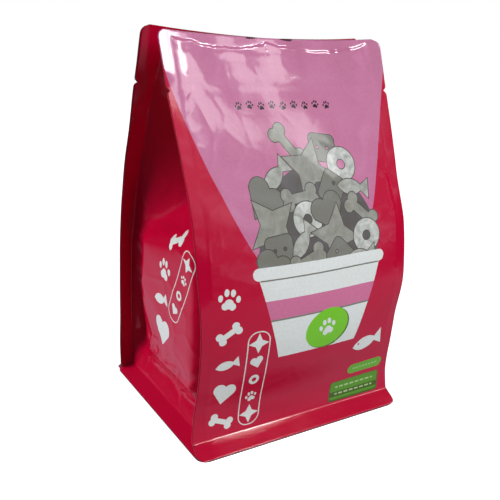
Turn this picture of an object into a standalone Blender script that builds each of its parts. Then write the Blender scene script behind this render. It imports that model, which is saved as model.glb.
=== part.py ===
"""Flat bottom pouch for dry pet food, filled and heat-sealed, standing on its base.

The pouch is five webs of film sealed along their edges into one closed pack: front panel,
back panel, two side gussets and bottom panel. It faces -Y, with the centre of its base at the origin.
The shape is lofted from level sections. Half of each section is worked out and mirrored.
"""

import bmesh
import bpy
import numpy as np

# Overall sizes, in metres
bag_width = 0.140  # across the front panel, from one side seal's edge to the other's
bag_height = 0.222  # from the floor to the top corners
base_depth = 0.126  # over the front and back bottom seals

# Heat seals
seal_thickness = 0.0008  # two films pressed together
side_seal_width = 0.008
top_seal_height = 0.009
top_middle_thickness = 0.0020  # where front, gussets and back are all sealed together
top_corner_radius = 0.005
bottom_seal_run = 0.009  # how far the front and back bottom seals splay out
side_bottom_seal_run = 0.008  # how far the bottom seals under the gussets splay out
bottom_seal_rise = 0.0060  # height of the crease above the bottom seals' outer edges
bottom_corner_radius = 0.006

# Tear notches in the four side seals
notch_drop = 0.029  # below the top corners
notch_depth = 0.0022
notch_half_height = 0.0013

# Depth over the side seals, at heights above the floor
belly_height = 0.065
belly_depth = 0.116
shoulder_height = 0.120
shoulder_depth = 0.101
top_gap = 0.019  # between the front and back corners at the top
belly_narrowing = 0.0020  # the side seals draw in as the belly swells

# How far the middle of the front and back panels stands out from their side seals
belly_crown = 0.0060
shoulder_crown = 0.0055
neck_crown = -0.0060  # negative, because the middle is pulled back towards the top seal
neck_below_notch = 0.002
top_edge_dip = 0.0030  # the top edge sags between its corners

# Side gussets
gusset_half_film = 0.056  # from the side seal to the gusset's middle crease, along the film
fold_rim_height = 0.109  # where the inward fold ends and the filled part begins
fold_rim_tilt = 0.011  # the rim is this much higher at the front seal and lower at the back one
fold_slope = 1.10  # how far the fold's end facet runs in for each unit of height
fold_rounding = 0.0045
bulge_out = 0.0025  # how far the filled part stands out past the side seals' inner lines
bulge_edge = 0.60  # share of the gusset's half width that the filled part takes
groove_depth = 0.0055  # beside the filled part, along the side seals
groove_share = 0.12  # half the groove's width, as a share of the gusset's half width
groove_end_below = 0.020  # the groove runs out over this much height below and above the rim
groove_end_above = 0.015
shelf_height = 0.016
shelf_inset = 0.0030  # the gusset draws in above the bottom seal
bulge_start_height = 0.028

# Bottom panel, which sags to the floor between the bottom seals
base_margin = 0.010  # from the bottom seals' crease to the part of the panel that lies flat
base_corner_radius = 0.012

# Fineness of the loft
leg_steps = 9  # from a gusset's crease to a side seal
level_step = 0.0056
fold_level_step = 0.0030  # where the gussets' folds end
fold_zone_below = 0.014  # the reach of those closer levels below and above the rim
fold_zone_above = 0.030

half_width = bag_width / 2
crease_height = bottom_seal_rise + seal_thickness
crease_half_depth = base_depth / 2 - bottom_seal_run
seal_line = half_width - side_seal_width
notch_height = bag_height - notch_drop
seal_bottom = bag_height - top_seal_height
neck_taper = (shoulder_depth - top_gap) / (bag_height - shoulder_height)
top_crown = (top_middle_thickness - top_gap) / 2
top_seal_flattening = 0.98  # share of the top edge's crown that the top seal's lower edge has


def smooth_curve(stops):
    """A smooth curve through (height, value) stops, as a function of height."""
    heights, values = np.array(stops).T
    slopes = np.gradient(values, heights)

    def value_at(height):
        height = min(max(height, heights[0]), heights[-1])
        i = min(np.searchsorted(heights, height, side="right") - 1, len(heights) - 2)
        span = heights[i + 1] - heights[i]
        t = (height - heights[i]) / span
        start = values[i] * (1 + 2 * t) * (1 - t) ** 2 + slopes[i] * span * t * (1 - t) ** 2
        end = values[i + 1] * t * t * (3 - 2 * t) - slopes[i + 1] * span * t * t * (1 - t)
        return start + end

    return value_at


def step_up(low, high, at):
    """0 below low, 1 above high, and an S curve between."""
    t = min(max((at - low) / (high - low), 0.0), 1.0)
    return t * t * (3 - 2 * t)


def soft_least(a, b, rounding):
    """The lesser of two values, with the corner between them rounded."""
    return 0.5 * (a + b - np.hypot(a - b, rounding))


def soft_greatest(a, b, rounding):
    """The greater of two values, with the corner between them rounded."""
    return 0.5 * (a + b + np.hypot(a - b, rounding))


seal_half_depth = smooth_curve(
    [
        (crease_height, crease_half_depth),
        (belly_height, belly_depth / 2),
        (shoulder_height, shoulder_depth / 2),
        (seal_bottom, (top_gap + top_seal_height * neck_taper) / 2),
        (bag_height, top_gap / 2),
    ]
)
seal_draw_in = smooth_curve(
    [
        (crease_height, 0.0),
        ((crease_height + belly_height) / 2, belly_narrowing),
        (shoulder_height, belly_narrowing / 2),
        (bag_height, 0.0),
    ]
)
panel_crown = smooth_curve(
    [
        (crease_height, 0.0),
        (belly_height, belly_crown),
        (shoulder_height, shoulder_crown),
        (notch_height - neck_below_notch, neck_crown),
        (seal_bottom, top_crown * top_seal_flattening),
        (bag_height, top_crown),
    ]
)


def tip_x(height):
    """The side seals' outer edge: it has a tear notch, and the top corners are rounded."""
    edge = half_width - seal_draw_in(height)
    off_notch = abs(height - notch_height) / notch_half_height
    edge -= notch_depth * max(1 - off_notch, 0.0)
    into_corner = min(max(height - (bag_height - top_corner_radius), 0.0), top_corner_radius)
    return edge - (top_corner_radius - np.sqrt(top_corner_radius**2 - into_corner**2))


def panel_y(x, height):
    """Distance of the front or back panel from the middle plane."""
    across = min(abs(x) / half_width, 1.0)
    return seal_half_depth(height) + panel_crown(height) * (1 - across**2)


def drop(x, height):
    """How far the film has sunk below a level plane, because the top edge sags."""
    across = min(abs(x) / half_width, 1.0)
    return top_edge_dip * (1 - across**2) * step_up(shoulder_height, bag_height, height)


def gusset_x(share, side, height):
    """Distance of a gusset from the middle plane. share is 0 at its crease and 1 at the side seals."""
    root = seal_line - seal_draw_in(height)
    spread = seal_half_depth(height) - seal_thickness
    fold_depth = np.sqrt(max(gusset_half_film**2 - spread**2, 0.0))
    rim = fold_rim_height - fold_rim_tilt * side * share
    end_facet = fold_slope * (height - rim)
    inward = soft_least(fold_depth * (1 - share), end_facet, fold_rounding)
    full = step_up(shelf_height, bulge_start_height, height)
    plateau = 1 - step_up(bulge_edge, 1.0, share)
    inward = soft_greatest(inward, -bulge_out * full * plateau, fold_rounding)
    beside = np.exp(-(((share - (1 + bulge_edge) / 2) / groove_share) ** 2))
    below_rim = 1 - step_up(rim - groove_end_below, rim + groove_end_above, height)
    inward += groove_depth * full * beside * below_rim
    above_seal = step_up(crease_height, shelf_height, height)
    inward += shelf_inset * above_seal * (1 - full) * (1 - share**6)
    return root - inward


def panel_columns(root):
    """Distances across a panel: its middle, then even steps from the fold's deepest reach to a side seal."""
    reach = seal_line - np.sqrt(gusset_half_film**2 - (top_gap / 2) ** 2)
    return [0.0] + [reach + (root - reach) * i / leg_steps for i in range(leg_steps + 1)]


def half_section(height):
    """Points of the right half of the pouch at one height, from front middle to back middle."""
    tip = tip_x(height)
    root = seal_line - seal_draw_in(height)
    panel = [(x, panel_y(x, height)) for x in panel_columns(root)] + [(tip, panel_y(tip, height))]
    seal_back = [(tip, panel_y(tip, height) - seal_thickness)]

    def leg(side):
        points = []
        for i in range(leg_steps, 0, -1):
            share = i / leg_steps
            x = gusset_x(share, side, height)
            y = share * (panel_y(root, height) - seal_thickness)
            points.append((x, min(y, panel_y(x, height) - seal_thickness)))
        return points

    front = [(x, -y) for x, y in panel + seal_back + leg(-1)]
    crease = [(gusset_x(0.0, 0, height), 0.0)]
    back = [(x, y) for x, y in panel + seal_back + leg(1)]
    return [(x, y, height - drop(x, height)) for x, y in front + crease + back[::-1]]


def base_outline(half_x, half_y, radius, height):
    """A rounded rectangle at one height, with a point for each point of a half section."""
    inner_y = half_y - side_seal_width
    panel = [(x, half_y) for x in panel_columns(half_x - side_seal_width)]
    corner = []
    for turn in (np.pi / 3, np.pi / 6):
        corner.append((half_x - radius + radius * np.cos(turn), half_y - radius + radius * np.sin(turn)))
    leg = [(half_x, inner_y * i / leg_steps) for i in range(leg_steps, 0, -1)]
    quarter = panel + corner + leg
    front = [(x, -y) for x, y in quarter]
    return [(x, y, height) for x, y in front + [(half_x, 0.0)] + quarter[::-1]]


def level_heights():
    """Heights of the sections: even steps, with more at the notches and the rounded top corners."""
    stops = [crease_height, fold_rim_height - fold_zone_below, fold_rim_height + fold_zone_above, seal_bottom]
    even = [crease_height]
    for low, high, step in zip(stops, stops[1:], (level_step, fold_level_step, level_step)):
        even += list(np.linspace(low, high, round((high - low) / step) + 1))[1:]
    notch = [notch_height - notch_half_height, notch_height, notch_height + notch_half_height]
    even = [z for z in even if min(abs(z - n) for n in notch) > notch_half_height]
    turns = np.linspace(0, np.pi / 2, 5)
    corner = list(bag_height - top_corner_radius * (1 - np.sin(turns)))
    return sorted(even + notch + corner)


def loft_half():
    """The right half of the pouch as a mesh that is open at its middle plane."""
    crease_x = half_width - side_bottom_seal_run
    edge_x = half_width - seal_thickness / 2
    edge_y = base_depth / 2 - seal_thickness / 2
    rings = [
        base_outline(crease_x - base_margin, crease_half_depth - base_margin, base_corner_radius, 0.0),
        base_outline(crease_x, crease_half_depth, bottom_corner_radius, bottom_seal_rise),
        base_outline(edge_x, edge_y, bottom_corner_radius, 0.0),
        base_outline(half_width, base_depth / 2, bottom_corner_radius, seal_thickness),
    ]
    rings += [half_section(height) for height in level_heights()]
    half = bmesh.new()
    loops = [[half.verts.new(point) for point in ring] for ring in rings]
    for lower, upper in zip(loops, loops[1:]):
        for i in range(len(lower) - 1):
            half.faces.new((lower[i], lower[i + 1], upper[i + 1], upper[i]))
    half.faces.new(loops[0][::-1])
    cap_top(half, loops[-1])
    mesh = bpy.data.meshes.new("pouch")
    half.to_mesh(mesh)
    half.free()
    return mesh


def cap_top(half, loop):
    """Closes the top edge: a strip along each sealed leg, and one face where all webs meet."""
    last = len(loop) - 1
    seal_back = leg_steps + 2
    for i in range(1, seal_back):
        inner = 2 * seal_back + 1 - i
        half.faces.new((loop[i], loop[i + 1], loop[inner - 1], loop[inner]))
        half.faces.new((loop[last - i - 1], loop[last - i], loop[last - inner], loop[last - inner + 1]))
    half.faces.new((loop[0], loop[1], loop[last // 2], loop[last - 1], loop[last]))


def film_material():
    film = bpy.data.materials.new("glossy_film")
    film.use_nodes = True
    surface = film.node_tree.nodes["Principled BSDF"]
    surface.inputs["Base Color"].default_value = (0.45, 0.008, 0.045, 1.0)
    surface.inputs["Roughness"].default_value = 0.22
    surface.inputs["Metallic"].default_value = 0.0
    surface.inputs["Coat Weight"].default_value = 0.6
    return film


def main():
    for old in list(bpy.data.objects):
        bpy.data.objects.remove(old)
    collection = bpy.data.collections.new("flat_bottom_pouch")
    bpy.context.scene.collection.children.link(collection)
    mesh = loft_half()
    mesh.materials.append(film_material())
    pouch = bpy.data.objects.new("pouch", mesh)
    collection.objects.link(pouch)
    mirror = pouch.modifiers.new("other_half", "MIRROR")
    mirror.merge_threshold = 0.00005
    mesh.shade_smooth()
    mesh.set_sharp_from_angle(angle=np.radians(38))


main()
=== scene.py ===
import math

import bmesh
import bpy
import numpy as np
from mathutils import Matrix, Vector


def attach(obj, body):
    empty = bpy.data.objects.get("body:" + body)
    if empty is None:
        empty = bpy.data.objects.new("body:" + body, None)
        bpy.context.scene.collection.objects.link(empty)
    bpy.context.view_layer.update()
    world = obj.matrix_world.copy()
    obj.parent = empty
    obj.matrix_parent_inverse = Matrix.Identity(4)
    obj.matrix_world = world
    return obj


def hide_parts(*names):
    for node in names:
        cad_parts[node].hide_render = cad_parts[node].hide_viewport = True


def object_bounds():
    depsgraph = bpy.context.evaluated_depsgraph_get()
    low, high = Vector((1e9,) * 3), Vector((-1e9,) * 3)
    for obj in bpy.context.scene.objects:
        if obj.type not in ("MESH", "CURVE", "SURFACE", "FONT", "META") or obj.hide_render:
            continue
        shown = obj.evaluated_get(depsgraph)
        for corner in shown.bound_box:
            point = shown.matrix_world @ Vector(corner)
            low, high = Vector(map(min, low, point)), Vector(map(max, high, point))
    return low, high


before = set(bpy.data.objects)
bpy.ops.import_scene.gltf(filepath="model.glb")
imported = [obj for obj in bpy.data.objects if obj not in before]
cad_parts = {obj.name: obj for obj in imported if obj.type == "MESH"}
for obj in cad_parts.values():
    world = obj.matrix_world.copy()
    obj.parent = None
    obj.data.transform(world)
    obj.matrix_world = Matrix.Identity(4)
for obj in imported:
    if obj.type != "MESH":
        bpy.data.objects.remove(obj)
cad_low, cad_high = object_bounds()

# The pouch's form, in metres. It is the same as its solid's, which faces -Y and stands at the origin
bag_width = cad_high.x - cad_low.x
bag_height = 0.222
base_depth = 0.126
seal_thickness = 0.0008
side_seal_width = 0.008
top_seal_height = 0.009
top_middle_thickness = 0.0020
top_corner_radius = 0.005
bottom_seal_run = 0.009
side_bottom_seal_run = 0.008
bottom_seal_rise = 0.0060
bottom_corner_radius = 0.006
notch_drop = 0.029
notch_depth = 0.0022
notch_half_height = 0.0013
belly_height = 0.065
belly_depth = 0.116
shoulder_height = 0.120
shoulder_depth = 0.101
top_gap = 0.019
belly_narrowing = 0.0020
belly_crown = 0.0060
shoulder_crown = 0.0055
neck_crown = -0.0060
top_seal_flattening = 0.98
neck_below_notch = 0.002
top_edge_dip = 0.0030
gusset_half_film = 0.056
fold_rim_height = 0.109
fold_rim_tilt = 0.011
fold_slope = 1.10
fold_rounding = 0.0045
bulge_out = 0.0025
bulge_edge = 0.60
groove_depth = 0.0055
groove_share = 0.12
groove_end_below = 0.020
groove_end_above = 0.015
shelf_height = 0.016
shelf_inset = 0.0030
bulge_start_height = 0.028
base_margin = 0.010
base_corner_radius = 0.012

half_width = bag_width / 2
crease_height = bottom_seal_rise + seal_thickness
crease_half_depth = base_depth / 2 - bottom_seal_run
seal_line = half_width - side_seal_width
notch_height = bag_height - notch_drop
seal_bottom = bag_height - top_seal_height
neck_taper = (shoulder_depth - top_gap) / (bag_height - shoulder_height)
top_crown = (top_middle_thickness - top_gap) / 2

# The film, and the fineness of its meshes
film_thickness = 0.00036
cut_back = 0.0002  # the gusset and bottom films' cut edges lie this far behind the panel film's
crease_radius = 0.0006
film_step = 0.0010
seal_step = 0.0007
flange_step = 0.0006
base_step = 0.0022
fine_above_crease = 0.006
fine_below_top = 0.010


def smooth_curve(stops):
    """A smooth curve through (height, value) stops, as a function of an array of heights."""
    heights, values = np.array(stops).T
    slopes = np.gradient(values, heights)

    def value_at(height):
        height = np.clip(height, heights[0], heights[-1])
        i = np.clip(np.searchsorted(heights, height, side="right") - 1, 0, len(heights) - 2)
        span = heights[i + 1] - heights[i]
        t = (height - heights[i]) / span
        start = values[i] * (1 + 2 * t) * (1 - t) ** 2 + slopes[i] * span * t * (1 - t) ** 2
        end = values[i + 1] * t * t * (3 - 2 * t) - slopes[i + 1] * span * t * t * (1 - t)
        return start + end

    return value_at


def step_up(low, high, at):
    """0 below low, 1 above high, and an S curve between."""
    t = np.clip((at - low) / (high - low), 0.0, 1.0)
    return t * t * (3 - 2 * t)


def band(low, high, soft, at):
    """1 between low and high, and 0 past them by more than soft."""
    return step_up(low - soft, low, at) * (1 - step_up(high, high + soft, at))


def soft_least(a, b, rounding):
    return 0.5 * (a + b - np.hypot(a - b, rounding))


def soft_greatest(a, b, rounding):
    return 0.5 * (a + b + np.hypot(a - b, rounding))


seal_half_depth = smooth_curve(
    [
        (crease_height, crease_half_depth),
        (belly_height, belly_depth / 2),
        (shoulder_height, shoulder_depth / 2),
        (seal_bottom, (top_gap + top_seal_height * neck_taper) / 2),
        (bag_height, top_gap / 2),
    ]
)
seal_draw_in = smooth_curve(
    [
        (crease_height, 0.0),
        ((crease_height + belly_height) / 2, belly_narrowing),
        (shoulder_height, belly_narrowing / 2),
        (bag_height, 0.0),
    ]
)
panel_crown = smooth_curve(
    [
        (crease_height, 0.0),
        (belly_height, belly_crown),
        (shoulder_height, shoulder_crown),
        (notch_height - neck_below_notch, neck_crown),
        (seal_bottom, top_crown * top_seal_flattening),
        (bag_height, top_crown),
    ]
)


def corner_cut(radius, to_edge):
    """How much a rounded corner takes off, that far from the edge it runs into."""
    into_corner = np.clip(radius - to_edge, 0.0, radius)
    return radius - np.sqrt(radius**2 - into_corner**2)


def tip_x(height):
    """The side seals' outer edge: it has a tear notch, and the top corners are rounded."""
    edge = half_width - seal_draw_in(height)
    edge = edge - notch_depth * np.maximum(1 - np.abs(height - notch_height) / notch_half_height, 0.0)
    return edge - corner_cut(top_corner_radius, bag_height - height)


def panel_y(x, height):
    across = np.minimum(np.abs(x) / half_width, 1.0)
    return seal_half_depth(height) + panel_crown(height) * (1 - across**2)


def drop(x, height):
    across = np.minimum(np.abs(x) / half_width, 1.0)
    return top_edge_dip * (1 - across**2) * step_up(shoulder_height, bag_height, height)


def gusset_x(share, side, height):
    """Distance of a gusset from the middle plane. share is 0 at its crease and 1 at the side seals."""
    root = seal_line - seal_draw_in(height)
    spread = seal_half_depth(height) - seal_thickness
    fold_depth = np.sqrt(np.maximum(gusset_half_film**2 - spread**2, 0.0))
    rim = fold_rim_height - fold_rim_tilt * side * share
    inward = soft_least(fold_depth * (1 - share), fold_slope * (height - rim), fold_rounding)
    full = step_up(shelf_height, bulge_start_height, height)
    plateau = 1 - step_up(bulge_edge, 1.0, share)
    inward = soft_greatest(inward, -bulge_out * full * plateau, fold_rounding)
    beside = np.exp(-(((share - (1 + bulge_edge) / 2) / groove_share) ** 2))
    below_rim = 1 - step_up(rim - groove_end_below, rim + groove_end_above, height)
    inward = inward + groove_depth * full * beside * below_rim
    above_seal = step_up(crease_height, shelf_height, height)
    return root - inward - shelf_inset * above_seal * (1 - full) * (1 - share**6)


# Creases and dents of the film, as heights over the film's own two directions

lattice_count = 64
lattice_origin = 31.0  # the film's own origin, in steps from the lattice's corner


def hills(a, b, size, seed):
    """Smooth random hills between -1 and 1, about size apart."""
    lattice = np.random.default_rng(seed).uniform(-1, 1, (lattice_count, lattice_count))
    a, b = a / size + lattice_origin, b / size + lattice_origin
    i, j = np.floor(a).astype(int), np.floor(b).astype(int)
    s, t = step_up(0, 1, a - i), step_up(0, 1, b - j)
    i, j = i % (lattice_count - 1), j % (lattice_count - 1)
    low = lattice[i, j] * (1 - s) + lattice[i + 1, j] * s
    high = lattice[i, j + 1] * (1 - s) + lattice[i + 1, j + 1] * s
    return low * (1 - t) + high * t


def crumple(a, b, size, crest, seed):
    """Film crushed into flat facets about size across, with sharp ridges between them: -1 to 1."""
    rng = np.random.default_rng(seed)
    low = np.array([a.min(), b.min()]) - size
    high = np.array([a.max(), b.max()]) + size
    count = int(np.prod((high - low) / size))
    seeds = rng.uniform(low, high, (count, 2))
    nearest = np.full(a.shape, 1e9)
    second = np.full(a.shape, 1e9)
    for x, y in seeds:
        away = np.hypot(a - x, b - y)
        second = np.minimum(second, np.maximum(away, nearest))
        nearest = np.minimum(nearest, away)
    return np.exp(-(second - nearest) / crest) * 2 - 1


def pucker(along, across, length, width, crest=0.0005):
    """A sharp-crested ridge that starts at a seal, and widens and fades over its length."""
    t = np.clip(along / length, 0.0, 1.0)
    reach = (1 - t) ** 1.5 * np.exp(-((np.minimum(along, 0) / 0.0015) ** 2))
    spread = width * (0.45 + t)
    return reach * np.exp(-(np.hypot(across, crest) - crest) / spread)


def puckers(a, b, starts, heading, seed, length=(0.010, 0.026), width=(0.0012, 0.0028), rise=0.00025):
    """Puckers that start at the given points and run roughly along heading, an angle in radians."""
    rng = np.random.default_rng(seed)
    total = np.zeros(np.broadcast(a, b).shape)
    for x, y in starts:
        turn = heading + rng.normal(0, 0.38)
        u, v = a - x, b - y
        along = u * math.cos(turn) + v * math.sin(turn)
        across = -u * math.sin(turn) + v * math.cos(turn)
        height = rise * rng.uniform(0.35, 1.0) * rng.choice([-1, 1, 1])
        total += height * pucker(along, across, rng.uniform(*length), rng.uniform(*width))
    return total


def spaced(low, high, gap, seed):
    """Places from low to high, about gap apart but uneven."""
    rng = np.random.default_rng(seed)
    places = np.arange(low, high, gap)
    return places + rng.uniform(-0.4, 0.4, len(places)) * gap


# How all the films bend together near the top, where they are sealed to each other

twist = 0.0050  # the top's right corner stands this far forward of the left one
neck_widening = 0.022
left_top_rise = 0.0016
left_back_top_rise = 0.0020
left_corner_lean = 0.0013  # the top of the left front seal leans forward
right_flare = 0.0026  # the right front seal leans forward at the shoulder
flare_heights = (0.088, 0.118)
flare_fade = 0.030
fin_lean = 0.0003
fin_sway = 0.0006
settle_back = smooth_curve(
    [
        (seal_thickness, 0.0),
        (crease_height, 0.0012),
        (0.020, 0.0030),
        (0.045, 0.0026),
        (0.075, 0.0010),
        (0.105, 0.0002),
        (bag_height, 0.0),
    ]
)
seal_wave = 0.0007
long_wave = 0.0105  # two waves run along the top edge, given as metres per radian
short_wave = 0.0047
wave_start_below = 0.022
top_middle_squeeze = 0.00062  # the panels touch in the middle of the top seal
top_seal_least = 0.0016  # the film leaves the top seal along two scallops
top_scallop = 0.0036
top_roll = 0.0007
zip_heights = (0.1940, 0.1985)
zip_rise = 0.00004
welt_height = 0.2005  # a fainter line above the zip
welt_rise = 0.00006
pressed_depth = 0.00010  # the seals are pressed in by this much


def bend_together(points):
    """Lets the filled pouch settle back a little, twists its neck, and waves its sealed top edge."""
    x, y, z = points[..., 0], points[..., 1], points[..., 2]
    up = step_up(shoulder_height, bag_height, z)
    rightness = (x / half_width + 1) / 2
    near_top = step_up(seal_bottom - wave_start_below, seal_bottom, z)
    wave = seal_wave * near_top * (np.sin(x / long_wave + 0.8) + 0.6 * np.sin(x / short_wave))
    wave *= 1 - step_up(0.75, 1.0, np.abs(x) / half_width)
    moved = points.copy()
    flare = right_flare * band(*flare_heights, flare_fade, z) * step_up(0.7, 1.0, rightness)
    flare = flare * step_up(0.0, -0.04, y)
    moved[..., 0] = x * (1 + neck_widening * up) + 0.4 * flare
    moved[..., 1] = y + settle_back(z) - twist * up * rightness + wave - flare
    behind = step_up(-top_gap / 2, top_gap / 2, y)
    moved[..., 2] = z + up**3 * (1 - rightness) * (left_top_rise + behind * left_back_top_rise)
    return moved


def fin_bend(side, front, height):
    """How far a side seal's outer edge leans, towards the front or back panel."""
    slow = hills(height, np.full_like(height, side * 0.05 + front * 0.11), 0.021, 41)
    lean = (fin_sway * slow + fin_lean) * band(0.020, bag_height - 0.03, 0.015, height)
    if side < 0 and front < 0:
        lean = lean - left_corner_lean * step_up(0.193, 0.204, height)
    return lean


# Meshes


def outward(points):
    """Unit normals of a grid of points, by its two directions."""
    down, along = np.gradient(points, axis=0), np.gradient(points, axis=1)
    normals = np.cross(along, down)
    return normals / np.linalg.norm(normals, axis=-1, keepdims=True)


def film_piece(name, points, prints, finish, closed=False):
    """A sheet of film as an object: points is a grid on its printed face, prints its print's coordinates.

    A closed one is a stack of rings, whose first ring is a point and whose ends meet."""
    rows, columns = points.shape[:2]
    index = np.arange(rows * columns).reshape(rows, columns)
    quads = np.stack([index[:-1, :-1], index[:-1, 1:], index[1:, 1:], index[1:, :-1]], axis=-1)
    mesh = bpy.data.meshes.new(name)
    mesh.from_pydata(points.reshape(-1, 3).tolist(), [], quads.reshape(-1, 4).tolist())
    layer = mesh.uv_layers.new(name="print")
    corners = np.empty(len(mesh.loops), dtype=np.int32)
    mesh.loops.foreach_get("vertex_index", corners)
    layer.data.foreach_set("uv", prints.reshape(-1, 2)[corners].astype(np.float32).ravel())
    if closed:
        work = bmesh.new()
        work.from_mesh(mesh)
        bmesh.ops.remove_doubles(work, verts=work.verts, dist=1e-6)
        work.to_mesh(mesh)
        work.free()
    mesh.shade_smooth()
    mesh.materials.append(finish)
    mesh.materials.append(cut_edge)
    # The third material, for the film's inner face, is a near-black painted shade
    mesh.materials.append(inner_painted_shade)
    piece = bpy.data.objects.new(name, mesh)
    bpy.context.scene.collection.objects.link(piece)
    solid = piece.modifiers.new("film", "SOLIDIFY")
    solid.thickness = film_thickness
    solid.offset = -1
    solid.use_rim = True
    solid.material_offset_rim = 1
    solid.material_offset = 2
    return piece


def place_piece(piece):
    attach(piece, "root")
    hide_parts("pouch")


def panel_columns():
    """Places across a panel as shares of its half width, closer together over the side seals."""
    inner = seal_line / half_width
    middle = np.linspace(-inner, inner, round(2 * seal_line / film_step))
    edge = np.linspace(inner, 1.0, round(side_seal_width / seal_step) + 1)[1:]
    return np.concatenate([-edge[::-1], middle, edge])


def film_rows(flange, top):
    """Film distances above the bottom crease, negative over the seal below it, and closer at its turns."""
    rows = [np.linspace(-flange, 0, round(flange / flange_step) + 1)[:-1]]
    rows.append(np.linspace(0, fine_above_crease, 13)[:-1])
    rows.append(np.linspace(fine_above_crease, top - fine_below_top, round(top / film_step))[:-1])
    rows.append(np.linspace(top - fine_below_top, top - top_corner_radius, 14)[:-1])
    rows.append(top - top_corner_radius * (1 - np.sin(np.linspace(0, np.pi / 2, 14))))
    rows = np.concatenate(rows)
    notch = notch_height - crease_height
    rows = rows[np.abs(rows - notch) > notch_half_height * 1.2]
    return np.sort(np.append(rows, [notch - notch_half_height, notch, notch + notch_half_height]))


front_flange = math.hypot(bottom_seal_run, bottom_seal_rise)
flange_corner_radius = 0.0038  # the panels' bottom corners


def panel_points(across, up):
    """A panel's printed face, facing -Y, at shares across and film distances up from the bottom crease."""
    height = crease_height + np.maximum(up, 0.0)
    out = np.clip(-up / front_flange, 0.0, 1.0)
    x = across * (tip_x(height) - corner_cut(flange_corner_radius, front_flange * (1 - out)))
    y = panel_y(x, height) + bottom_seal_run * out
    middle = 1 - step_up(0.008, 0.022, np.abs(x))
    y = y - top_middle_squeeze * middle * step_up(seal_bottom + 0.001, bag_height - 0.003, height)
    z = height - drop(x, height) - bottom_seal_rise * out
    return np.stack([x, -y, z], axis=-1)


def rounded_crease(points_at, up):
    """Points with the bottom crease rounded over."""
    return (points_at(up - crease_radius) + 2 * points_at(up) + points_at(up + crease_radius)) / 4


def panel_relief(x, up, seed):
    """Height of a panel's creases, dents, zip and pressed seals over its plain form.

    A number that multiplies hills or crumple is their greatest height, in metres."""
    height = crease_height + up
    inside = 1 - step_up(seal_line - 0.003, seal_line + 0.0005, np.abs(x))
    above = step_up(0.002, 0.016, up)
    below_top = 1 - step_up(seal_bottom - 0.004, seal_bottom + 0.001, height)
    neck = step_up(0.105, 0.165, height)
    flank = step_up(0.02, 0.06, np.abs(x)) * step_up(0.08, 0.15, height)
    free = inside * above * below_top
    relief = free * (0.00022 + 0.00030 * neck) * hills(x * 1.4, height, 0.034, seed)
    relief += free * (0.00004 + 0.00009 * neck + 0.00008 * flank) * hills(x, height, 0.012, seed + 1)
    relief += free * (0.00002 + 0.00005 * flank) * crumple(x * 1.3, height, 0.024, 0.0028, seed + 2)
    strong = 0.45 + 0.25 * neck
    for side in (-1, 1):
        heights = spaced(0.012, seal_bottom, 0.0085, seed + 3 + side)
        starts = [(side * (seal_line - 0.0012), z) for z in heights]
        heading = math.pi if side > 0 else 0.0
        relief += above * strong * puckers(x, height, starts, heading, seed + 5 + side)
    # Below the top seal the film rolls outwards from an uneven line, and puckers run down from it
    scallop = np.abs(np.sin(math.pi * (x + 0.002) / seal_line)) ** 0.8
    line = bag_height - top_seal_least - top_scallop * scallop
    line = line + 0.0009 * hills(x, 0 * x, 0.007, seed + 12) + 0.0005 * hills(x, 0 * x, 0.0025, seed + 13)
    below = np.maximum(line - height, 0.0)
    relief += inside * top_roll * step_up(0.0, 0.0019, below) * np.exp(-below / 0.010)
    starts = [(place, bag_height - 0.007) for place in spaced(-0.058, 0.058, 0.0105, seed + 8)]
    relief += inside * puckers(x, height, starts, -math.pi / 2, seed + 9, rise=0.00022)
    starts = [(place, crease_height + 0.003) for place in spaced(-0.055, 0.055, 0.012, seed + 10)]
    relief += inside * above * puckers(x, height, starts, math.pi / 2, seed + 11, rise=0.00014)
    for zip_height in zip_heights:
        relief += inside * zip_rise * np.exp(-(((height - zip_height) / 0.0013) ** 2))
    relief += inside * welt_rise * np.exp(-(((height - welt_height) / 0.0016) ** 2))
    pressed = step_up(seal_line - 0.0006, seal_line + 0.0006, np.abs(x))
    return relief - pressed_depth * np.maximum(pressed, step_up(line - 0.0008, line + 0.0006, height))


def over_seal(x):
    """Share of the way out over a side seal, as its bend grows."""
    return np.clip((x - seal_line) / side_seal_width, 0.0, 1.2) ** 1.05


def make_panel(name, facing, finish, seed):
    """The front panel for facing -1 or the back panel for facing 1."""
    across, up = np.meshgrid(panel_columns(), film_rows(front_flange, bag_height - crease_height))
    points = rounded_crease(lambda at: panel_points(across, at), up)
    height = crease_height + np.maximum(up, 0.0)
    points += outward(points) * panel_relief(points[..., 0], up, seed)[..., None]
    if facing > 0:
        points[..., :2] *= -1
    lean = np.zeros_like(across)
    for side in (-1, 1):
        lean += over_seal(side * points[..., 0]) * fin_bend(side, facing, height)
    points[..., 1] += lean
    prints = np.stack([points[..., 0] * -facing, up + crease_height], axis=-1)
    return film_piece(name, bend_together(points), prints, finish)


gusset_fin = side_seal_width / gusset_half_film
flange_corner_cut = 0.0012  # the gusset's bottom corners stay behind the panels' rounded ones
flange_edge_back = 0.0014
fold_y = 0.005
fold_height = 0.057  # a fold crosses the filled part, this high at fold_y and lower towards the front
fold_tilt = 0.408
fold_back_slope = 0.11  # the film below it falls back
pucker_heights = (0.030, 0.105)  # puckers start at the side seals of the filled part, and at its foot
pucker_depth = 0.048
leg_clearance = 0.0011  # the gusset's legs keep this far behind the panels between the seals
side_flange = math.hypot(side_bottom_seal_run, bottom_seal_rise)


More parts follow.
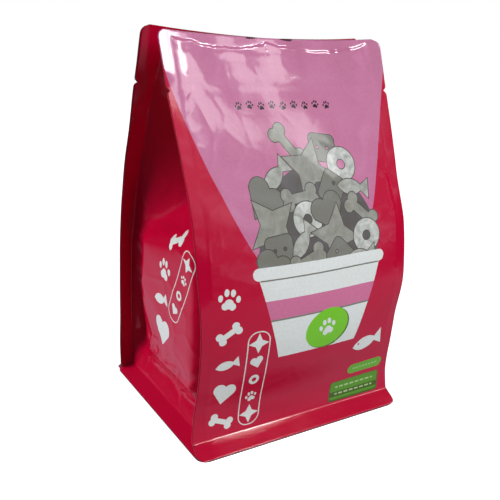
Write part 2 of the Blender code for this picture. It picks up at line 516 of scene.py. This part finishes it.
def gusset_points(across, up):
    """The right gusset's printed face. across is -1 at the front seal and 1 at the back one.

    It goes on past them over the fins."""
    height = crease_height + np.maximum(up, 0.0)
    out = np.clip(-up / side_flange, 0.0, 1.0)
    share, side = np.minimum(np.abs(across), 1.0), np.sign(across)
    over = np.clip((np.abs(across) - 1) / gusset_fin, 0.0, 1.0)
    root = seal_line - seal_draw_in(height)
    tip = tip_x(height) - cut_back
    x = gusset_x(share, side, height) * (1 - over) + tip * over
    limit = panel_y(x, height) - seal_thickness
    y = share * (panel_y(root, height) - seal_thickness)
    free = 1 - step_up(seal_bottom - 0.006, seal_bottom, height)
    clear = leg_clearance * free * (1 - step_up(0.86, 0.97, share))
    y = np.where(over > 0, limit, np.minimum(y, limit - clear))
    edge_run = base_depth / 2 - crease_half_depth - flange_edge_back
    edge_y = share * (crease_half_depth + seal_thickness) + over * edge_run
    x = x * (1 - out) + (half_width - flange_corner_cut * over) * out
    y = y * (1 - out) + edge_y * out
    z = height - drop(x, height) - bottom_seal_rise * out
    return np.stack([x, side * y, z], axis=-1)


def gusset_relief(y, height, across, seed):
    """Height of a gusset's folds, dents and puckers over its plain form."""
    inside = 1 - step_up(0.88, 1.0, np.abs(across))
    above = step_up(crease_height + 0.002, 0.018, height)
    below_top = 1 - step_up(seal_bottom - 0.010, seal_bottom, height)
    free = inside * above * below_top
    below_fold = (fold_height - height + (y - fold_y) * fold_tilt) / math.hypot(1, fold_tilt)
    filled = inside * step_up(0.012, 0.030, height) * (1 - step_up(0.085, 0.100, height))
    relief = -fold_back_slope * soft_greatest(below_fold, 0 * height, 0.0016) * filled
    relief += free * 0.00045 * hills(y, height, 0.030, seed)
    relief += free * 0.00018 * hills(y, height, 0.013, seed + 1)
    relief += free * 0.00014 * crumple(y, height, 0.026, 0.0030, seed + 2)
    # The film is dented where it bends out to the bottom seal
    low = inside * step_up(crease_height + 0.0005, crease_height + 0.005, height)
    low = low * (1 - step_up(0.028, 0.040, height))
    relief += low * 0.0007 * hills(y + height, height * 1.4, 0.012, seed + 10)
    relief += low * 0.0003 * crumple(y + height, height, 0.014, 0.0024, seed + 11)
    for side in (-1, 1):
        heights = spaced(*pucker_heights, 0.011, seed + 3 + side)
        starts = [(side * pucker_depth, z) for z in heights]
        heading = math.pi if side > 0 else 0.0
        relief += free * puckers(y, height, starts, heading, seed + 5 + side, rise=0.0003)
    starts = [(place, pucker_heights[0]) for place in spaced(-0.042, 0.042, 0.013, seed + 8)]
    relief += free * puckers(y, height, starts, math.pi / 2, seed + 9, rise=0.0004, width=(0.002, 0.004))
    return relief


def make_gusset(name, side, finish, seed):
    """The left gusset for side -1 or the right one for side 1."""
    fin = np.linspace(1, 1 + gusset_fin, round(side_seal_width / seal_step) + 1)[1:]
    leg = np.linspace(-1, 1, round(2 * gusset_half_film / film_step) + 1)
    across, up = np.meshgrid(
        np.concatenate([-fin[::-1], leg, fin]), film_rows(side_flange, bag_height - crease_height)
    )
    points = rounded_crease(lambda at: gusset_points(across, at), up)
    height = crease_height + np.maximum(up, 0.0)
    facing = -outward(points)
    facing *= np.sign(facing[..., :1].mean())  # towards +X
    points += facing * gusset_relief(points[..., 1], height, across, seed)[..., None]
    over = np.where(np.abs(across) >= 1, over_seal(np.abs(points[..., 0])), 0.0)
    points[..., 1] += over * np.where(across < 0, fin_bend(side, -1, height), fin_bend(side, 1, height))
    prints = np.stack([across * gusset_half_film * side, up + crease_height], axis=-1)
    if side < 0:
        points[..., 0] *= -1
        points, prints = points[:, ::-1], prints[:, ::-1]
    return film_piece(name, bend_together(points), prints, finish)


corner_steps = 4
ring_counts = (24, 9, 9)  # over the flat middle, the margin up to the crease, and the seal
base_unevenness = 0.00018


def rounded_rectangle(half_x, half_y, radius):
    """Points round a rounded rectangle, as many for any size."""

    def from_centre(angle):
        return radius * np.array([math.cos(angle), math.sin(angle)])

    points = []
    spans = [round(2 * half_width / base_step), round(base_depth / base_step)] * 2
    corners = [(1, -1), (1, 1), (-1, 1), (-1, -1)]
    start = np.array([-half_x + radius, -half_y])
    for i, (sx, sy) in enumerate(corners):
        centre = np.array([sx * (half_x - radius), sy * (half_y - radius)])
        turn = math.pi / 2 * (i - 1)
        points += list(np.linspace(start, centre + from_centre(turn), spans[i], endpoint=False))
        for t in np.linspace(0, math.pi / 2, corner_steps, endpoint=False):
            points.append(centre + from_centre(turn + t))
        start = centre + from_centre(turn + math.pi / 2)
    return np.array(points)


def make_base(name, finish):
    """The bottom panel: flat on the surface in its middle, up to the crease, and down to the outer edge."""
    crease_x = half_width - side_bottom_seal_run
    flat_x, flat_y = crease_x - base_margin, crease_half_depth - base_margin
    keys = [(flat_x * k, flat_y * k, base_corner_radius * k, 0.0) for k in (0.0, 1.0)]
    keys.append((crease_x, crease_half_depth, bottom_corner_radius, bottom_seal_rise))
    keys.append((half_width - cut_back, base_depth / 2 - cut_back, bottom_corner_radius, 0.0))
    rings = []
    for start, end, steps in zip(keys, keys[1:], ring_counts):
        for t in np.linspace(0, 1, steps, endpoint=False):
            rings.append([s * (1 - t) + e * t for s, e in zip(start, end)])
    rings.append(keys[-1])
    points = []
    for half_x, half_y, radius, z in rings:
        ring = rounded_rectangle(half_x, half_y, radius)
        points.append(np.column_stack([ring, np.full(len(ring), z)]))
    points = np.array(points)
    points = np.concatenate([points, points[:, :1]], axis=1)
    x, y, z = points[..., 0], points[..., 1], points[..., 2]
    sag = hills(x, y, 0.022, 91) + 0.5 * hills(x, y, 0.009, 92) + 1.5
    low_middle = 1 - step_up(0.7, 1.0, np.maximum(np.abs(x) / flat_x, np.abs(y) / flat_y))
    points[..., 2] += base_unevenness * sag * low_middle
    return film_piece(name, bend_together(points), points[..., :2], finish, closed=True)


# Shader maths as Python expressions


class Level:
    """A node's output that can stand in a Python expression: a number, or a vector or colour."""

    def __init__(self, finish, socket, is_vector=False):
        self.finish = finish
        self.socket = socket
        self.is_vector = is_vector

    def __add__(self, other):
        return self.finish.work("ADD", self, other)

    def __sub__(self, other):
        return self.finish.work("SUBTRACT", self, other)

    def __rsub__(self, other):
        return self.finish.work("SUBTRACT", other, self)

    def __mul__(self, other):
        return self.finish.work("MULTIPLY", self, other)

    def __truediv__(self, other):
        return self.finish.work("DIVIDE", self, other)

    def __pow__(self, other):
        return self.finish.work("POWER", self, other)

    def __neg__(self):
        return self.finish.work("MULTIPLY", self, (-1, -1, -1) if self.is_vector else -1)

    def __abs__(self):
        return self.finish.work("ABSOLUTE", self)

    __radd__ = __add__
    __rmul__ = __mul__

    def least(self, other):
        return self.finish.work("MINIMUM", self, other)

    def greatest(self, other):
        return self.finish.work("MAXIMUM", self, other)

    def clamped(self):
        return self.finish.work("ADD", self, 0.0, clamp=True)

    def length(self):
        return self.finish.work("LENGTH", self)

    def distance(self, point):
        return self.finish.work("DISTANCE", self, point)

    def parts(self):
        split = self.finish.node("ShaderNodeSeparateXYZ", {}, {0: self})
        return Level(self.finish, split.outputs[0]), Level(self.finish, split.outputs[1])


class Finish:
    """One material or world, put together node by node."""

    def __init__(self, name, kind="materials"):
        self.material = getattr(bpy.data, kind).new(name)
        self.material.use_nodes = True
        self.tree = self.material.node_tree
        self.surface = self.tree.nodes.get("Principled BSDF")

    def node(self, kind, settings, sockets):
        """Adds a node of any kind: its settings first, then the values or links of its sockets."""
        node = self.tree.nodes.new(kind)
        for key, value in settings.items():
            setattr(node, key, value)
        for key, value in sockets.items():
            self.put(node.inputs[key], value)
        return node

    def give(self, name, value):
        """Gives a socket of the surface a value or a link."""
        self.put(self.surface.inputs[name], value)

    def put(self, socket, value):
        if isinstance(value, Level):
            self.tree.links.new(value.socket, socket)
        else:
            socket.default_value = value

    def work(self, operation, *values, clamp=False):
        """A Math node, or a Vector Math node where any value is a vector."""
        vectors = any(isinstance(value, Level) and value.is_vector for value in values)
        if not vectors:
            settings = {"operation": operation, "use_clamp": clamp}
            node = self.node("ShaderNodeMath", settings, dict(enumerate(values)))
            return Level(self, node.outputs[0])
        node = self.node("ShaderNodeVectorMath", {"operation": operation}, dict(enumerate(values)))
        number = operation in ("LENGTH", "DISTANCE", "DOT_PRODUCT")
        return Level(self, node.outputs[1 if number else 0], not number)

    def point(self, x, y):
        node = self.node("ShaderNodeCombineXYZ", {}, {0: x, 1: y})
        return Level(self, node.outputs[0], True)

    def mix(self, share, under, over):
        node = self.node("ShaderNodeMix", {"data_type": "RGBA"}, {0: share, 6: under, 7: over})
        return Level(self, node.outputs[2], True)

    def noise(self, place, size, detail=2.0, roughness=0.5, distortion=0.0):
        values = {
            "Vector": place,
            "Scale": 1 / size,
            "Detail": detail,
            "Roughness": roughness,
            "Distortion": distortion,
        }
        return Level(self, self.node("ShaderNodeTexNoise", {}, values).outputs[0])

    def print_place(self):
        return Level(self, self.node("ShaderNodeUVMap", {"uv_map": "print"}, {}).outputs[0], True)

    def film_place(self):
        return Level(self, self.node("ShaderNodeTexCoord", {}, {}).outputs["Object"], True)


# Colours, as the print's inks have them in linear light
crimson = (0.46, 0.0012, 0.029, 1)
pink = (0.49, 0.165, 0.30, 1)
white = (0.68, 0.73, 0.72, 1)
pale_grey = (0.290, 0.310, 0.265, 1)
dark_grey = (0.165, 0.180, 0.150, 1)
green = (0.16, 0.55, 0.012, 1)
leaf_green = (0.072, 0.275, 0.006, 1)
light_leaf_green = (0.115, 0.400, 0.020, 1)
deep_green = (0.040, 0.110, 0.006, 1)
rose = (0.56, 0.16, 0.30, 1)
black = (0.012, 0.010, 0.012, 1)
light_grey = (0.44, 0.47, 0.43, 1)
lightest_grey = (0.62, 0.66, 0.63, 1)
heap_shadow = (0.090, 0.095, 0.085, 1)
biscuit_edge = (0.060, 0.064, 0.055, 1)
upper_dash_green = (0.34, 0.58, 0.20, 1)
lower_dash_green = (0.36, 0.58, 0.22, 1)
dark_crimson = (0.22, 0.004, 0.020, 1)

# Sizes on the print, in metres
edge_softness = 0.00012
field_half_width = 0.0685
bowl_x = 0.006
# Rows of biscuits: the height of each, and how many lie in it
heap_rows = ((0.1640, 2), (0.1525, 3), (0.1405, 4), (0.1280, 4), (0.1155, 4), (0.1050, 4))
biscuit_size = 0.0245
biscuit_pitch = 0.0200
biscuit_outline = 0.0005


def placed(spot, x, y, size=1.0, turn=0.0):
    """The same spot in a motif's own frame, where the motif is about 1 across."""
    finish = spot.finish
    values = {
        "Vector": spot,
        "Location": (x, y, 0),
        "Rotation": (0, 0, math.radians(turn)),
        "Scale": (size,) * 3,
    }
    node = finish.node("ShaderNodeMapping", {"vector_type": "TEXTURE"}, values)
    return Level(finish, node.outputs[0], True)


def inked(depth, size=1.0):
    """1 where a shape's signed distance is negative, in a motif of that size."""
    return (0.5 - depth * (size / edge_softness)).clamped()


def disc(spot, x, y, radius):
    return spot.distance((x, y, 0)) - radius


def oval(spot, x, y, wide, high):
    return (((spot - (x, y, 0)) * (1 / wide, 1 / high, 0)).length() - 1) * min(wide, high)


def bar(spot, half_long, half_high, radius):
    """A rounded bar about the frame's middle."""
    outside = (abs(spot) - (half_long - radius, half_high - radius, 9)).greatest((0, 0, 0))
    return outside.length() - radius


def mirrored(spot):
    x, y = spot.parts()
    return spot.finish.point(abs(x), y)


# Motifs, as signed distances from their edges


def paw(spot):
    half = mirrored(spot)
    pad = disc(half, 0.0, -0.13, 0.17).least(disc(half, 0.13, -0.21, 0.13))
    return pad.least(oval(half, 0.115, 0.25, 0.09, 0.13)).least(oval(half, 0.32, 0.05, 0.085, 0.12))


def bone(spot):
    quarter = abs(spot)
    return disc(quarter, 0.34, 0.105, 0.14).least(bar(spot, 0.34, 0.10, 0.02))


def heart(spot):
    half = mirrored(spot)
    x, y = half.parts()
    point = ((x - (y + 0.46) * 0.86) * 0.758).greatest(y - 0.02)
    return disc(half, 0.20, 0.14, 0.24).least(point)


def fish(spot):
    x, y = spot.parts()
    y = abs(y)
    body = disc(spot.finish.point(x, y), -0.08, -0.30, 0.47)
    tail = (y - (x - 0.14) * 0.72).greatest(x - 0.44).greatest(0.16 - x)
    return body.least(tail)


def star(spot):
    quarter = abs(spot)
    x, y = quarter.parts()
    return (x + y * 0.46 - 0.32).least(y + x * 0.46 - 0.32)


def outlined(shape, half_line):
    return abs(shape) - half_line


def leave_out(shape, hole):
    return shape.greatest(-hole)


def ring(spot):
    return outlined(disc(spot, 0, 0, 0.26), 0.10)


def biscuit_ring(spot):
    return outlined(disc(spot, 0, 0, 0.25), 0.13)


def biscuit_square(spot):
    return leave_out(bar(spot, 0.34, 0.30, 0.12), disc(abs(spot), 0.13, 0.0, 0.05))


def rows_of_dashes(spot, pitch, long, thick, rows):
    """Short dashes in rows, like a label's small print."""
    finish = spot.finish
    x, y = spot.parts()
    cell = finish.point(finish.work("FRACT", x / pitch) - 0.5, 0.0)
    nearest = abs(y - rows[0])
    for row in rows[1:]:
        nearest = nearest.least(abs(y - row))
    across = abs(cell.parts()[0]) - long / pitch / 2
    return (across * pitch).greatest(nearest - thick / 2)


class Print:
    """A web's print: inks laid one by one over crimson.

    Places on it are metres from the web's middle, and up from the surface that the pouch stands on."""

    def __init__(self, finish):
        self.finish = finish
        self.spot = finish.print_place()
        self.colour = crimson

    def lay(self, depth, ink, size=1.0):
        """Lays an ink where a shape's signed distance is negative, in a motif of that size."""
        self.colour = self.finish.mix(inked(depth, size), self.colour, ink)

    def lay_motif(self, motif, x, y, size, turn=0.0, ink=white):
        self.lay(motif(placed(self.spot, x, y, size, turn)), ink, size)

    def lay_pink_field(self, lowest, rise):
        """Pink down from the top, with a round lower border that is lowest in the middle."""
        x, y = self.spot.parts()
        border = lowest + rise * (abs(x) / field_half_width) ** 2.4
        self.lay((border - y) * 0.6, pink)


def print_heap(web):
    """Biscuits heaped in the bowl, the far ones first."""
    marbling = (web.finish.noise(web.spot, 0.0070, 4.0, 0.62, 0.8) * 2.2 - 0.75).clamped()
    tones = (pale_grey, dark_grey, light_grey, pale_grey, lightest_grey, dark_grey)
    shapes = (bone, heart, biscuit_ring, star, fish, biscuit_square)
    web.lay(oval(web.spot, bowl_x, 0.110, 0.040, 0.045), heap_shadow)
    number = 0
    for height, count in heap_rows:
        for i in range(count):
            x = bowl_x + (i - (count - 1) / 2) * biscuit_pitch + 0.0030 * math.sin(number * 2.1)
            y = height + 0.002 * math.cos(number * 1.7)
            depth = shapes[number * 5 % 6](placed(web.spot, x, y, biscuit_size, 47 * number % 110 - 55))
            web.lay(depth - biscuit_outline / biscuit_size, biscuit_edge, biscuit_size)
            web.lay(depth, web.finish.mix(marbling, tones[number * 7 % 6], dark_grey), biscuit_size)
            number += 1


def print_bowl(web):
    """A plain bowl with a band round it and a wide rim."""
    x, y = web.spot.parts()
    half = 0.027 + (y - 0.052) * 0.30
    bowl = (abs(x - bowl_x) - half).greatest(abs(y - 0.077) - 0.025)
    web.lay(bowl, white)
    web.lay(bowl.greatest(abs(y - 0.0815) - 0.0055), rose)
    web.lay(bowl.greatest(abs(y - 0.0755) - 0.0005), dark_grey)
    web.lay(bar(placed(web.spot, bowl_x, 0.102), 0.0445, 0.0034, 0.0034), white)
    web.lay(bar(placed(web.spot, bowl_x, 0.0983), 0.0405, 0.0004, 0.0004), dark_grey)


def print_tag(web):
    """A plain oval tag with a paw, over the bowl."""
    tag = placed(web.spot, 0.0105, 0.0645, turn=14)
    web.lay(oval(tag, 0.0006, -0.0006, 0.0152, 0.0122), deep_green)
    web.lay(oval(tag, 0, 0, 0.0150, 0.0120), green)
    web.lay_motif(paw, 0.0105, 0.0650, 0.0140, 14)


def print_motifs(web):
    """White motifs down the left flank, an outlined strip of small ones, and a row of small dark paws."""
    for i, motif in enumerate((paw, bone, fish, heart, bone)):
        web.lay_motif(motif, -0.0522, 0.0905 - 0.0186 * i, 0.0155, (-8, 32, 12, -10, -24)[i])
    web.lay(outlined(bar(placed(web.spot, -0.0345, 0.0400), 0.0066, 0.0305, 0.0060), 0.00032), white)
    for i, motif in enumerate((star, heart, ring, paw, star)):
        web.lay_motif(motif, -0.0345, 0.0635 - 0.0117 * i, 0.0088, 15 * (i % 2))
    for i in range(9):
        odd = i % 2
        web.lay_motif(paw, -0.0285 + 0.0071 * i, 0.1865 + 0.0006 * odd, 0.0056, 12 - 24 * odd, black)


def print_labels(web):
    """A fish over two plain labels with rows of dashes, at the lower right."""
    size = 0.026
    place = placed(web.spot, 0.0455, 0.0465, size, 10)
    eye = disc(place, -0.27, 0.045, 0.028)
    web.lay(leave_out(fish(place), eye), white, size)
    upper = placed(web.spot, 0.0490, 0.0280)
    web.lay(bar(upper, 0.0140, 0.0034, 0.0034), light_leaf_green)
    dashes = rows_of_dashes(upper, 0.0026, 0.0017, 0.0009, (0.0,))
    web.lay(dashes.greatest(bar(upper, 0.0105, 0.0020, 0.0005)), upper_dash_green)
    lower = placed(web.spot, 0.0425, 0.0150)
    web.lay(bar(lower - (0, -0.0005, 0), 0.0195, 0.0070, 0.0022), deep_green)
    web.lay(bar(lower, 0.0188, 0.0062, 0.0018), leaf_green)
    web.lay(bar(lower - (0, -0.0026, 0), 0.0188, 0.0017, 0.0004), deep_green)
    dashes = rows_of_dashes(lower, 0.0042, 0.0030, 0.0011, (-0.0024, 0.0024))
    web.lay(dashes.greatest(bar(lower, 0.0150, 0.0045, 0.0005)), lower_dash_green)


def print_front(web):
    web.lay_pink_field(0.088, 0.112)
    print_heap(web)
    print_bowl(web)
    print_tag(web)
    print_motifs(web)
    print_labels(web)


def print_gusset(web):
    """A column of white motifs, and beside it a tilted strip of small ones."""
    column = (
        (bone, 0.0122, 0.0175, 24),
        (paw, 0.0010, 0.0175, -8),
        (fish, -0.0050, 0.0190, 12),
        (heart, -0.0030, 0.0215, -6),
    )
    for i, (motif, x, size, turn) in enumerate(column):
        web.lay_motif(motif, x, 0.1110 - 0.0205 * i, size, turn)
    strip = bar(placed(web.spot, 0.0215, 0.0860, turn=-28), 0.0064, 0.0260, 0.0057)
    web.lay(outlined(strip, 0.0003), white)
    for i, motif in enumerate((star, paw, ring, heart)):
        web.lay_motif(motif, 0.0300 - 0.0057 * i, 0.1020 - 0.0107 * i, 0.0080, -28)


def print_back(web):
    """The pink field, and a bare white panel."""
    web.lay_pink_field(0.150, 0.050)
    web.lay(bar(placed(web.spot, 0, 0.080), 0.046, 0.048, 0.006), white)


def film_finish(name, *layers):
    """Glossy laminate over the layers of print: sharp reflections, faint smudges, and fine crinkles."""
    finish = Finish(name)
    web = Print(finish)
    for layer in layers:
        layer(web)
    place = finish.film_place()
    speckle = ((finish.noise(web.spot, 0.0016, 3.0, 0.65) - 0.5) * 0.3 + 0.05).clamped()
    smudge = finish.noise(place, 0.018, 2.0)
    fine = finish.noise(place, 0.0042, 2.0, 0.55, 0.6)
    bump = finish.node("ShaderNodeBump", {}, {"Strength": 0.22, "Distance": 0.0002, "Height": fine})
    finish.give("Base Color", finish.mix(speckle, web.colour, dark_crimson))
    finish.give("Roughness", 0.08 + smudge * 0.10)
    finish.give("Normal", Level(finish, bump.outputs[0]))
    finish.give("Coat Weight", 0.25)
    finish.give("Coat Roughness", 0.04)
    return finish.material


def grained_finish(name, grain_size, dark, light, roughness):
    """A layer whose colour varies between two tones."""
    finish = Finish(name)
    grain = finish.noise(finish.film_place(), grain_size, 2.0)
    finish.give("Base Color", finish.mix(grain, dark, light))
    finish.give("Roughness", roughness)
    return finish.material


# The laminate's layers show at its cut edge. Its inner face, seen only deep between the panels, is painted
# near black: a painted shade, not the inner layer's own colour
edge_tones = ((0.16, 0.010, 0.024, 1), (0.34, 0.08, 0.12, 1))
inner_painted_shade_tones = ((0.035, 0.004, 0.008, 1), (0.070, 0.010, 0.018, 1))
cut_edge = grained_finish("laminate_cut_edge", 0.0030, *edge_tones, 0.35)
inner_painted_shade = grained_finish("laminate_inner_painted_shade", 0.0060, *inner_painted_shade_tones, 0.42)
front_finish = film_finish("front_printed_film", print_front)
back_finish = film_finish("back_printed_film", print_back)
gusset_finish = film_finish("gusset_printed_film", print_gusset)
base_finish = film_finish("base_printed_film")

for piece in (
    make_panel("front_panel", -1, front_finish, 11),
    make_panel("back_panel", 1, back_finish, 211),
    make_gusset("left_gusset", -1, gusset_finish, 431),
    make_gusset("right_gusset", 1, gusset_finish, 631),
    make_base("bottom_panel", base_finish),
):
    place_piece(piece)

# Floor, lights and camera

pouch_middle = Vector((0, 0, 0.11))
focal_share = 683 / 500  # the camera's focal length as a share of the picture's width


def make_floor():
    """A pale floor that fades into the backdrop by its own light."""
    bpy.ops.mesh.primitive_plane_add(size=12.0, location=(0, 0, 0))
    floor = bpy.context.object
    floor.name = "floor"
    finish = Finish("pale_floor")
    finish.give("Base Color", (0.50, 0.50, 0.50, 1))
    finish.give("Roughness", 0.9)
    finish.give("Specular IOR Level", 0.0)
    finish.give("Emission Color", (1, 1, 1, 1))
    finish.give("Emission Strength", 0.92)
    floor.data.materials.append(finish.material)
    floor.visible_glossy = False
    floor.visible_diffuse = False


def new_light(name, kind, power):
    """A light that the camera doesn't see."""
    lamp = bpy.data.lights.new(name, kind)
    lamp.energy = power
    light = bpy.data.objects.new(name, lamp)
    light.visible_camera = False
    bpy.context.scene.collection.objects.link(light)
    return light


def softbox(name, place, wide, high, power, mirrored):
    """A rectangular light that faces the pouch. The film either mirrors it or is only lit by it."""
    light = new_light(name, "AREA", power)
    light.data.shape = "RECTANGLE"
    light.data.size = wide
    light.data.size_y = high
    light.visible_glossy = mirrored
    light.visible_diffuse = not mirrored
    light.location = place
    light.rotation_mode = "QUATERNION"
    light.rotation_quaternion = (pouch_middle - place).to_track_quat("-Z", "Y")


def make_surroundings():
    """A white backdrop for the eye, even soft light, and dim surroundings for the film to mirror."""
    world = Finish("studio", "worlds")
    world.tree.nodes.clear()
    way = Level(world, world.node("ShaderNodeTexCoord", {}, {}).outputs["Generated"], True)

    def towards(heading, low, high):
        """1 in one direction from the pouch, and 0 far from it. low and high are cosines from it."""
        facing = world.work("DOT_PRODUCT", way, heading)
        values = {0: facing, 1: low, 2: high, 3: 0.0, 4: 1.0}
        settings = {"interpolation_type": "SMOOTHSTEP"}
        return Level(world, world.node("ShaderNodeMapRange", settings, values).outputs[0])

    def background(colour, strength):
        return world.node("ShaderNodeBackground", {}, {"Color": colour, "Strength": strength})

    wide_patches = (world.noise(way, 0.20, 3.0, 0.55) * 1.9 - 0.55).clamped()
    small_patches = (world.noise(way, 0.09, 3.0, 0.60, 0.4) * 3.6 - 1.75).clamped()
    glow = towards((-0.30, 0.60, -0.74), 0.74, 0.95) * 0.40 + 0.02
    # A pale table ahead of the pouch, and uneven light above it
    down = (0, 0, -1)
    table = towards((0.574, -0.819, 0), 0.25, 0.55)
    table = table * towards(down, 0.14, 0.23) * (1 - towards(down, 0.70, 0.79))
    glow = glow + table * (wide_patches * 0.22 + 0.28)
    glow = glow + towards((0.476, -0.824, 0.309), 0.82, 0.95) * (small_patches * 2.0 + 0.22)
    path = world.node("ShaderNodeLightPath", {}, {})
    light = background((1, 1, 1, 1), 0.19)
    kinds = (
        ("Is Glossy Ray", background((0.82, 0.76, 1.04, 1), glow)),
        ("Is Camera Ray", background((1, 1, 1, 1), 1.0)),
    )
    for kind, other in kinds:
        mix = world.node("ShaderNodeMixShader", {}, {0: Level(world, path.outputs[kind])})
        world.tree.links.new(light.outputs[0], mix.inputs[1])
        world.tree.links.new(other.outputs[0], mix.inputs[2])
        light = mix
    out = world.node("ShaderNodeOutputWorld", {}, {})
    world.tree.links.new(light.outputs[0], out.inputs["Surface"])
    bpy.context.scene.world = world.material


def make_sun():
    """Soft light from above that is even over the whole floor."""
    light = new_light("soft_top_light", "SUN", 0.2)
    light.data.angle = math.radians(70)
    light.rotation_euler = (math.radians(20), math.radians(12), 0)
    light.visible_glossy = False


def pointing(azimuth, pitch):
    """A unit vector. Azimuth 0 is to the front and 90 to +X, and pitch is upwards."""
    a, p = math.radians(azimuth), math.radians(pitch)
    return Vector((math.sin(a) * math.cos(p), -math.cos(a) * math.cos(p), math.sin(p)))


def facing_place(azimuth, pitch, away):
    """A place that far from the pouch's middle."""
    return pouch_middle + pointing(azimuth, pitch) * away


def make_camera():
    """The photograph's view, fitted to the pouch's corners."""
    to_right = 31.7  # degrees from +Y towards +X
    roll = math.radians(2.2)
    place = Vector((-1.548, -2.449, 1.590)) * bag_width
    ahead = pointing(180 - to_right, -17.6)
    level = pointing(90 - to_right, 0)
    over = level.cross(ahead)
    right = level * math.cos(roll) + over * math.sin(roll)
    up = over * math.cos(roll) - level * math.sin(roll)
    lens = bpy.data.cameras.new("camera")
    lens.sensor_width = 36
    lens.lens = lens.sensor_width * focal_share
    lens.clip_start = 0.01
    camera = bpy.data.objects.new("camera", lens)
    camera.matrix_world = Matrix.Translation(place) @ Matrix((right, up, -ahead)).transposed().to_4x4()
    bpy.context.scene.collection.objects.link(camera)
    bpy.context.scene.camera = camera


make_floor()
make_surroundings()
make_sun()
softbox("front_soft_light", facing_place(20, 32, 2.0), wide=1.0, high=1.0, power=39, mirrored=False)
softbox("left_soft_light", facing_place(-128, 8, 2.0), wide=1.0, high=0.8, power=50, mirrored=False)
softbox("front_panel_light", facing_place(56, 41, 1.6), wide=0.44, high=0.40, power=2.3, mirrored=True)
softbox("top_strip_light", facing_place(48, 54, 1.3), wide=0.28, high=0.11, power=5.5, mirrored=True)
softbox("corner_light", facing_place(70, 33, 1.3), wide=0.22, high=0.28, power=3.0, mirrored=True)
make_camera()
bpy.context.scene.view_settings.view_transform = "Standard"
